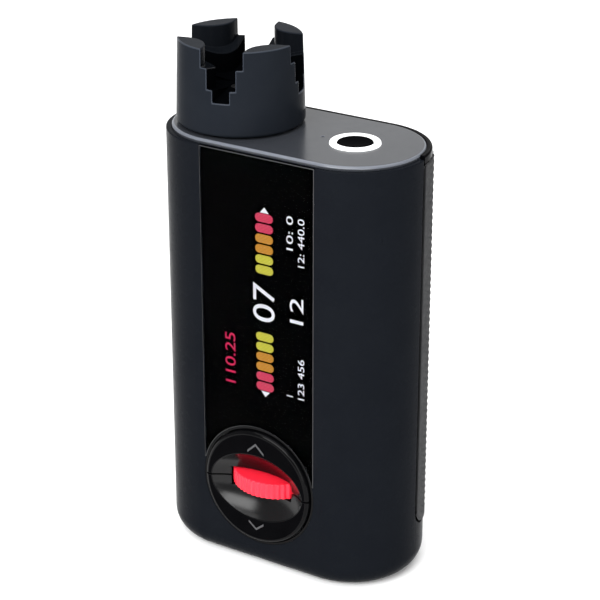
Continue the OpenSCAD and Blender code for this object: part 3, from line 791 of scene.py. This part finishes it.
def make_power_key():
    """The dished button in the ring, with a wider foot under it."""
    radius, dish, edge = 3.6 * MM, 0.15 * MM, 0.3 * MM
    stem_r, skirt, steps = 0.4 * MM, 1.5 * MM, 8
    waist = ring_low.z - 0.1 * MM
    outline = [(stem_r, key_low.z), (key_high.y, key_low.z), (key_high.y, waist), (radius, waist)]
    outline += rounded(radius, edge, key_high.z - skirt, key_high.z, 6)
    outline += [
        ((radius - edge) * (1 - i / steps), key_high.z - dish * math.sin(math.pi / 2 * i / steps))
        for i in range(1, steps)
    ]
    key = turned("power_key", outline, (KEY_X, 0), steps=96)
    place(smooth(key), "power_key", gloss_black("key", 1.015), "power_button", slot="dial")


# ---------------------------------------------------------------- peg socket
def cross_tool(width, low, high, corner):
    """A cross of two slots with rounded inner corners, as a cutting tool."""
    half = width / 2
    points = []
    for quarter in range(4):
        turn = SLOT_ANGLE + math.pi / 2 * quarter
        local = [(FAR / 2, -half), (FAR / 2, half)]
        local += [
            (half + corner * (1 - math.sin(a)), half + corner * (1 - math.cos(a)))
            for a in quarter_turn(14)
        ]
        points += [
            (SOCKET_X + u * math.cos(turn) - v * math.sin(turn), u * math.sin(turn) + v * math.cos(turn))
            for u, v in local
        ]
    return prism("cross", points, low, high)


def sloped_cross(width, floor, high, corner):
    """The same cross, with a floor that falls from the socket's rim towards its middle."""
    deep = floor - SLOT_FALL * SOCKET_TOP_R
    top, axis_r = high + 2 * OVER, 0.01 * MM
    cross = cross_tool(width, deep + OVER, high, corner)
    outline = [(axis_r, deep), (SOCKET_TOP_R, floor), (FAR, floor), (FAR, top), (axis_r, top)]
    funnel = turned("funnel", outline, (SOCKET_X, 0), steps=60, turn=SLOT_ANGLE)
    return carve(cross, funnel, operation="INTERSECT")


def is_bevel(face):
    """Whether a face of the socket is part of a rounded edge, neither flat nor on the round outside."""
    out = Vector((face.center.x - SOCKET_X, face.center.y, 0)).normalized()
    facing = face.normal.dot(out)
    across = math.hypot(face.normal.x, face.normal.y)
    return 0.25 < facing < 0.97 and (0.1 < abs(face.normal.z) < 0.97 or across > 0.99)


def make_peg_socket():
    """The socket with three steps of crossed slots, with painted shade (darker copies of its material)
    inside the slots and a painted highlight (a lighter copy) along its outer edges.
    """
    # Each step's width, its floor above the cap, and the radius of its inner corners, in mm.
    steps = [(8.5, 13.9, 5.5), (5.8, 9.7, 4.5), (3.4, 7.2, 0.8)]
    slots = [tuple(size * MM for size in step) for step in steps]
    foot = 0.7 * MM
    outline = [
        (SOCKET_R - foot * (1 - math.sin(a)), socket_low.z + foot * (1 - math.cos(a)))
        for a in quarter_turn(5)
    ]
    outline.append((SOCKET_TOP_R, socket_high.z))
    socket = turned("socket", outline, (SOCKET_X, 0), steps=60, turn=SLOT_ANGLE)
    width, floor, corner = slots[2]
    shaft_top = CAP_TOP + floor - 1.5 * MM
    shaft_bore = [(2 * MM, socket_low.z - OVER), (2 * MM, shaft_top)]
    screw_bore = [(2.05 * MM, shaft_top - 0.01 * MM), (2.05 * MM, shaft_top + 3 * MM)]
    tools = [sloped_cross(w, CAP_TOP + z, socket_high.z + OVER, r) for w, z, r in slots[:2]]
    tools.append(cross_tool(width, CAP_TOP + floor, socket_high.z + OVER, corner))
    tools.append(turned("shaft_bore", shaft_bore, (SOCKET_X, 0), steps=36))
    tools.append(turned("screw_bore", screw_bore, (SOCKET_X, 0), steps=36))
    carve(socket, *tools)
    soften(socket, 0.22 * MM, 3, 38)
    place(socket, "peg_drive", SOCKET, "peg_socket", slot="shell")
    rim = socket_high.z - 0.5 * MM
    shade_z = CAP_TOP + slots[0][1] - 2 * MM
    slot_z = CAP_TOP + 4 * MM
    outer_r = SOCKET_TOP_R - 0.3 * MM
    small = 3 * MM * MM

    # Faces inside the slots, which are given painted shade.
    def inner(face):
        out = Vector((face.center.x - SOCKET_X, face.center.y, 0)).normalized()
        return face.center.z > slot_z and face.normal.dot(out) < 0.6

    # Small bevel faces round the socket's top, which get a painted highlight.
    def highlight_edge(face):
        away = math.hypot(face.center.x - SOCKET_X, face.center.y)
        return face.area < small and is_bevel(face) and away > outer_r and face.center.z > slot_z

    # Painted shade: a darker copy on the slot walls near the top, a near-black copy on the deeper faces.
    give_faces(socket, SOCKET_PAINTED_SHADE, lambda face: inner(face) and shade_z < face.center.z < rim)
    give_faces(socket, SOCKET_DEEP_PAINTED_SHADE, lambda face: inner(face) and face.center.z < shade_z)
    # Painted highlight: the lighter copy goes on the outer edge bevels.
    give_faces(socket, SOCKET_PAINTED_HIGHLIGHT, highlight_edge)


# ---------------------------------------------------------------- dial
def dial_blank(name):
    """The whole round dial: boss, flange and front with a rounded edge."""
    edge = 0.8 * MM
    flange_back = BUTTON_FLANGE_Y + 0.6 * MM
    outline = [
        (BUTTON_BOSS_R, BUTTON_BACK), (BUTTON_BOSS_R, flange_back), (BUTTON_FLANGE_R, flange_back),
        (BUTTON_FLANGE_R, BUTTON_FLANGE_Y), (BUTTON_R, BUTTON_FLANGE_Y),
    ]
    outline += [
        (BUTTON_R - edge * (1 - math.cos(a)), BUTTON_FRONT + edge * (1 - math.sin(a)))
        for a in quarter_turn(10)
    ]
    return turned(name, outline, (0, DIAL_Z), "Y", 144)


def scoop_tool():
    """The long hollow round the wheel: an arc turned about the X axis."""
    radius, shift, lift = 18.6 * MM, 9.4 * MM, 5.6 * MM
    half = math.sqrt(radius ** 2 - shift ** 2)
    steps = 64
    outline = []
    for i in range(1, steps):
        x = half * math.sin(math.pi * (i / steps - 0.5))
        outline.append((math.sqrt(radius ** 2 - x ** 2) - shift, x))
    return turned("scoop", outline, (BUTTON_FRONT - lift, DIAL_Z), "X", 160)


def chevron(name, side, tip, reach, rise, width=0.38 * MM):
    """Two strokes that meet in a point, standing just proud of the dial's face."""
    down = -side * rise
    slant = math.hypot(reach, rise)
    across = width * slant / reach / 2
    tip_z = DIAL_Z + side * tip
    outline = [
        (-reach, tip_z + down - across), (0, tip_z - across), (reach, tip_z + down - across),
        (reach, tip_z + down + across), (0, tip_z + across), (-reach, tip_z + down + across),
    ]
    return prism(name, outline, BUTTON_FRONT - 0.02 * MM, BUTTON_FRONT + 0.1 * MM, "Y")


def make_dial():
    """The two halves of the dial, hollowed round the wheel, each with its chevron."""
    wheel_gap = 0.4 * MM
    slot_r = WHEEL_R + wheel_gap
    wheel_slot = [(slot_r, wheel_low.z - wheel_gap), (slot_r, wheel_high.z + wheel_gap)]

    def is_face(face):
        return abs(face.normal.y) > 0.999 and face.center.y < BUTTON_FRONT + 0.02 * MM

    def is_scoop(face):
        away = math.hypot(face.center.x, face.center.z - DIAL_Z)
        hollow = face.center.y > BUTTON_FRONT + 0.1 * MM and away < BUTTON_R - 0.9 * MM
        return hollow and face.normal.y < -0.55

    for side, name, node, body in (
        (1, "upper_dial_half", "upper_button", "upper_dial_button"),
        (-1, "lower_dial_half", "lower_button", "lower_dial_button"),
    ):
        half = dial_blank(name)
        edge = DIAL_Z + side * BUTTON_GAP / 2
        low, high = (edge - FAR, edge) if side > 0 else (edge, edge + FAR)
        carve(
            half,
            block("other_half", (-FAR, -FAR, low), (FAR, FAR, high)),
            scoop_tool(),
            turned("wheel_slot", wheel_slot, (0, WHEEL_Y), steps=120),
        )
        soften(half, 0.12 * MM, 3, 28, weld=0.01 * MM)
        place(half, body, DIAL, node, slot="dial")
        give_faces(half, DIAL_FACE, is_face)
        give_faces(half, DIAL_SCOOP, is_scoop)
        mark = (chevron("upper_mark", 1, 9.85 * MM, 1.95 * MM, 1.85 * MM) if side > 0
                else chevron("lower_mark", -1, 9.65 * MM, 1.8 * MM, 1.45 * MM))
        place(mark, body, MARKS, slot="dial")


def make_wheel():
    """The red wheel. The shares say how deep a groove is, in steps from one crest to the next."""
    grooves, depth, edge = 52, 0.25 * MM, 0.3 * MM
    shares = (0.0, 0.12, 0.45, 0.85, 1.0, 0.85, 0.45, 0.12)
    outline = []
    for i in range(grooves):
        for k, share in enumerate(shares):
            angle = math.tau * (i + (k - len(shares) / 2) / len(shares)) / grooves
            outline.append((angle, WHEEL_R - depth * share))
    quarter = quarter_turn(4)
    levels = [(edge * (1 - math.sin(a)), wheel_low.z + edge * (1 - math.cos(a))) for a in quarter]
    levels += [(edge * (1 - math.cos(a)), wheel_high.z - edge * (1 - math.sin(a))) for a in quarter]

    def ring(inset, z, radius=None):
        return [
            ((radius or r - inset) * math.cos(a), WHEEL_Y + (radius or r - inset) * math.sin(a), z)
            for a, r in outline
        ]

    bore = 1.5 * MM
    rings = [ring(inset, z) for inset, z in levels]
    rings = [ring(0, wheel_low.z, bore)] + rings + [ring(0, wheel_high.z, bore)]
    wheel = loft("knurled_wheel", rings, closed=True)
    place(smooth(wheel, 40), "wheel_assembly", WHEEL, "scroll_wheel", slot="wheel")


# ---------------------------------------------------------------- display
GLASS_BACK = glass_high.y - 0.05 * MM
INK_BACK = GLASS_BACK + 0.03 * MM
PICTURE_Y = PANEL_LOW.y - 0.02 * MM
PICTURE_HALF_T = 0.01 * MM


def dial_cut():
    """What the dial's bezel takes out of the glass and of the ink behind it."""
    radius = BEZEL_R + POCKET_GAP
    return turned("dial_cut", [(radius, -FAR), (radius, 0)], (0, DIAL_Z), "Y", 120)


def make_glass():
    """The glass, with a painted highlight in opaque grey on its fine bevelled edge, and the black ink
    behind it that frames the display.
    """
    glass = block("lens", glass_low, (glass_high.x, GLASS_BACK, glass_high.z))
    carve(glass, dial_cut())
    soften(glass, 0.12 * MM, 2)
    place(glass, "housing", LENS, "display_glass", slot="glass")
    # Painted highlight: the bevel faces along the glass's front get the opaque grey.
    edge_y = glass_low.y + 0.13 * MM
    give_faces(glass, GLASS_EDGE_PAINTED_HIGHLIGHT, lambda face: (
        max(abs(part) for part in face.normal) < 0.999 and face.center.y < edge_y
    ))
    ink = block("ink_border", (glass_low.x, GLASS_BACK + 0.005 * MM, glass_low.z),
                (glass_high.x, INK_BACK, glass_high.z))
    margin = 0.4 * MM
    carve(
        ink,
        dial_cut(),
        block("view", (PANEL_LOW.x + margin, -FAR, PANEL_LOW.z + margin),
              (PANEL_HIGH.x - margin, 0, PANEL_HIGH.z - margin)),
    )
    place(ink, "housing", INK, slot="display")


def picture(name, outline, material):
    """A flat lit shape on the display panel."""
    shape = prism(name, outline, PICTURE_Y - PICTURE_HALF_T, PICTURE_Y + PICTURE_HALF_T, "Y")
    return place(shape, "housing", material, slot="display")


def pill(x0, x1, z0, z1, corner):
    """A bar with rounded corners."""
    points = []
    for i, (x, z) in enumerate(((x1, z1), (x0, z1), (x0, z0), (x1, z0))):
        cx = x - corner if x == x1 else x + corner
        cz = z - corner if z == z1 else z + corner
        for k in range(7):
            angle = math.pi / 2 * (i + k / 6)
            points.append((cx + corner * math.cos(angle), cz + corner * math.sin(angle)))
    return points


def readout(name, text, height, base_x, start_z, material, length):
    """Digits that read up the display, as flat lit shapes. With no length they keep their own."""
    curve = bpy.data.curves.new(name, "FONT")
    curve.body = text
    curve.extrude = 0.01
    source = bpy.data.objects.new(name + "_source", curve)
    bpy.context.scene.collection.objects.link(source)
    bpy.context.view_layer.update()
    mesh = bpy.data.meshes.new_from_object(source.evaluated_get(bpy.context.evaluated_depsgraph_get()))
    bpy.data.objects.remove(source)
    left = min(v.co.x for v in mesh.vertices)
    wide = max(v.co.x for v in mesh.vertices) - left
    digit = max(v.co.y for v in mesh.vertices)
    scale = height / digit
    along = length / wide if length else scale
    for v in mesh.vertices:
        x, y, z = v.co
        front = PICTURE_Y - math.copysign(PICTURE_HALF_T, z)
        v.co = (base_x - y * scale, front, start_z + (x - left) * along)
    piece = bpy.data.objects.new(name, mesh)
    bpy.context.scene.collection.objects.link(piece)
    place(piece, "housing", material, slot="display")


def make_picture():
    """The tuner's lit picture: a row of bars with an arrow at each end, and generic numbers."""
    pink = lit("lit_pink", (0.68, 0.045, 0.11), 1.0, 0.3 * MM)
    orange = lit("lit_orange", (0.58, 0.26, 0.022), 1.0, 0.3 * MM)
    yellow = lit("lit_yellow", (0.60, 0.57, 0.050), 1.0, 0.3 * MM)
    white = lit("lit_white", (0.86, 0.87, 0.92), 1.0)
    crimson = lit("lit_crimson", (0.62, 0.01, 0.08), 1.0)
    left, right = -0.7 * MM, 3.4 * MM
    pitch, tall, corner = 2.175 * MM, 1.8 * MM, 0.88 * MM
    colours = (pink, pink, orange, orange, yellow, yellow)
    for name, highest, order in (("sharp", 78.85 * MM, colours), ("flat", 53.55 * MM, colours[::-1])):
        for i, material in enumerate(order):
            top = highest - i * pitch
            picture(f"{name}_bar_{i + 1}", pill(left, right, top - tall, top, corner), material)
    middle = (left + right) / 2 + 0.1 * MM
    for name, side, base, tip in (("sharp", 1, 79.0 * MM, 80.15 * MM), ("flat", -1, 40.7 * MM, 39.55 * MM)):
        arrow = [(middle - side * MM, base), (middle + side * MM, base), (middle, tip)]
        picture(name + "_arrow", arrow, white)
    # Each number's digits, height, base line and start, and the length that it fills, in mm.
    for name, digits, height, base, start, length, material in (
        ("large_number", "07", 5.0, 3.65, 56.05, 8.0, white),
        ("small_number", "12", 3.1, 10.35, 57.35, 5.4, white),
        ("pitch_number", "110.25", 2.4, -5.75, 40.75, 11.0, crimson),
        ("top_number", "10: 0", 1.45, 7.95, 72.55, 7.0, white),
        ("side_number", "12: 440.0", 1.45, 10.55, 69.45, 10.0, white),
        ("corner_number", "1", 1.45, 7.95, 41.15, 0, white),
        ("low_number", "123 456", 1.45, 10.55, 41.05, 8.8, white),
    ):
        readout(name, digits, height * MM, base * MM, start * MM, material, length * MM)


# ---------------------------------------------------------------- CAD nodes that stay
CAD_FINISH = {
    "shell": SHELL, "grip": GRIP, "cap": CAP, "glass": LENS, "display": PANEL, "dial": DIAL, "wheel": WHEEL,
    "light": RING, "steel": STEEL, "brass": BRASS, "board": BOARD, "chip": CHIP, "cell": CELL, "seal": SEAL,
}
NODE_FINISH = {"back_cover": LIP, "socket_screw": DARK_STEEL}


def finish_cad_nodes():
    """Gives each CAD node that stays visible its material."""
    slots = {row["node"]: row["material_slot"] for row in frame["record"]["subparts"]}
    for node, thing in frame["nodes"].items():
        if thing.hide_render:
            continue
        thing.data.materials.clear()
        thing.data.materials.append(NODE_FINISH.get(node, CAD_FINISH[slots[node]]))


make_camera()
make_floor()
light_studio()
make_front_shell()
make_inner_posts()
make_grip_pad()
make_cap()
make_light_ring()
make_power_key()
make_peg_socket()
make_dial()
make_wheel()
make_glass()
make_picture()
finish_cad_nodes()
